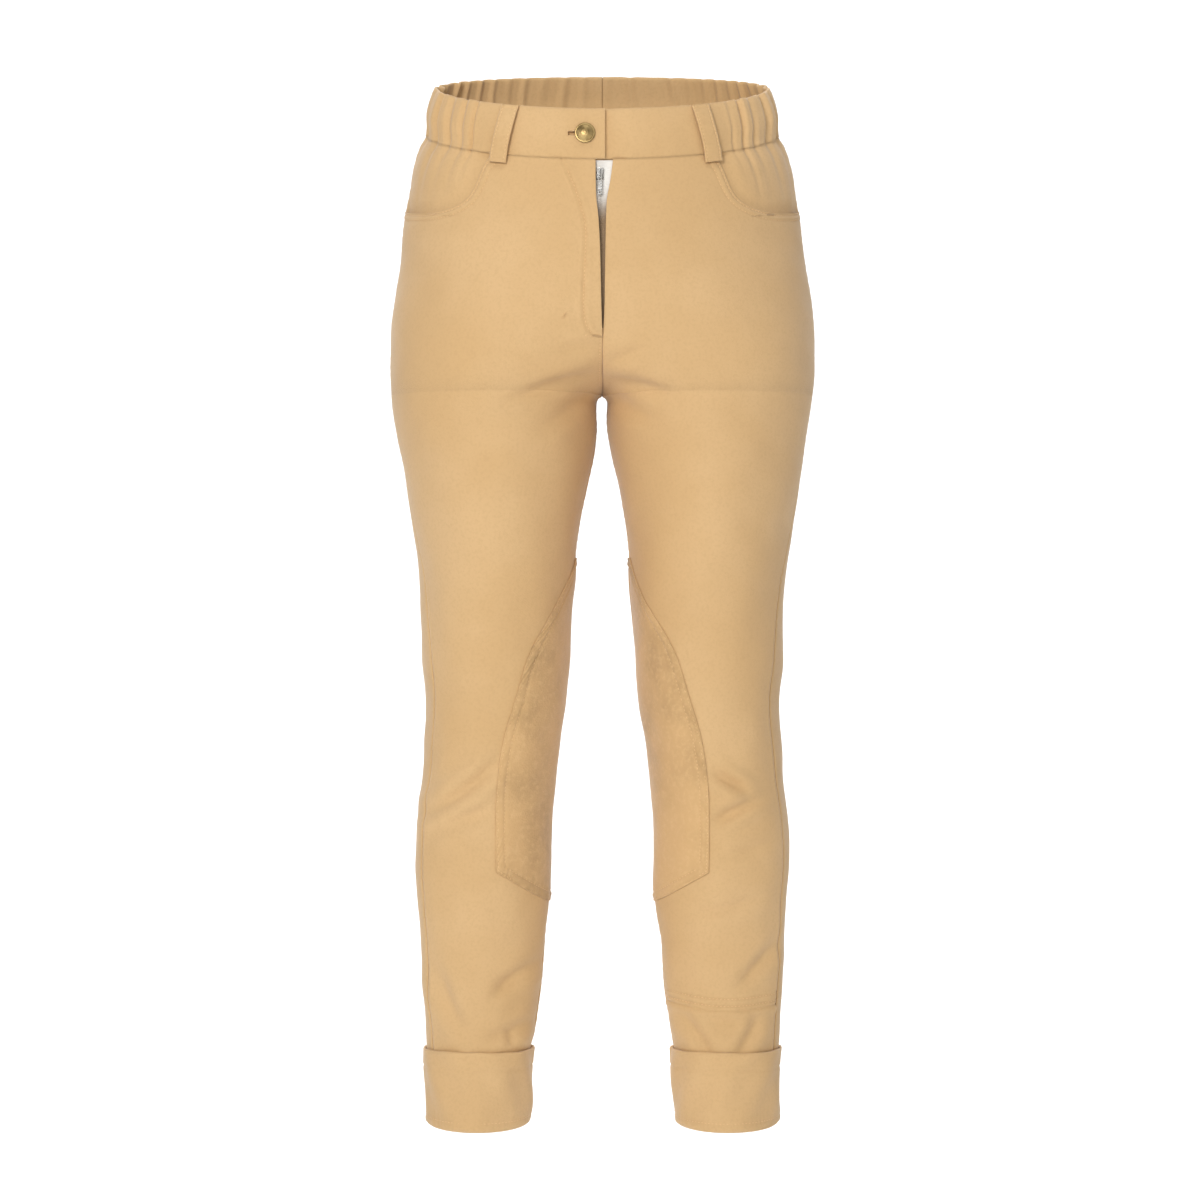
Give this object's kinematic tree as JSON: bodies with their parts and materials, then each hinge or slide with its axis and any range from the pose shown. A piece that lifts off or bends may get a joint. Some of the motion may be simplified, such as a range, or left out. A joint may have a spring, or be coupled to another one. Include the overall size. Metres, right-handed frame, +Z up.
{
  "type": "jodhpurs",
  "caption": "Riding trousers with an elasticated waistband, belt loops, fly zip, curved pockets, inner knee patches and turned-up hems, standing open as worn",
  "frame": {"origin": "middle of the waistband ring, where the wearer's waist holds the garment up", "axes": "+Z up along the garment, +X to the wearer's left, the front faces -Y"},
  "size_m": [0.3608, 0.2377, 0.899],
  "materials": {
    "cloth": "matt stretch cotton twill, buff",
    "suede": "brushed suede cloth, a little darker",
    "tape": "woven white zip tape",
    "zip_metal": "plated zip slider and pull",
    "button_metal": "antique brass"
  },
  "bodies": {
    "garment": {"back_left": "cloth", "back_right": "cloth", "belt_loop_back": "cloth", "belt_loop_left": "cloth", "belt_loop_right": "cloth", "front_left": "cloth", "front_right": "cloth", "knee_patch_left": "suede", "knee_patch_right": "suede", "pocket_facing_left": "cloth", "pocket_facing_right": "cloth", "turn_up_left": "cloth", "turn_up_right": "cloth", "waist_button": "button_metal", "waistband_left": "cloth", "waistband_right": "cloth", "zip_slider": "zip_metal", "zip_tape": "tape"},
    "pull_tab": {"zip_pull": "zip_metal"}
  },
  "joints": [
    {"name": "pull_tab_hinge", "type": "hinge", "parent": "garment", "child": "pull_tab", "pos_m": [-0.0022, -0.10203, -0.06453], "axis": [-1, 0, 0], "range_deg": [0, 110]}
  ]
}
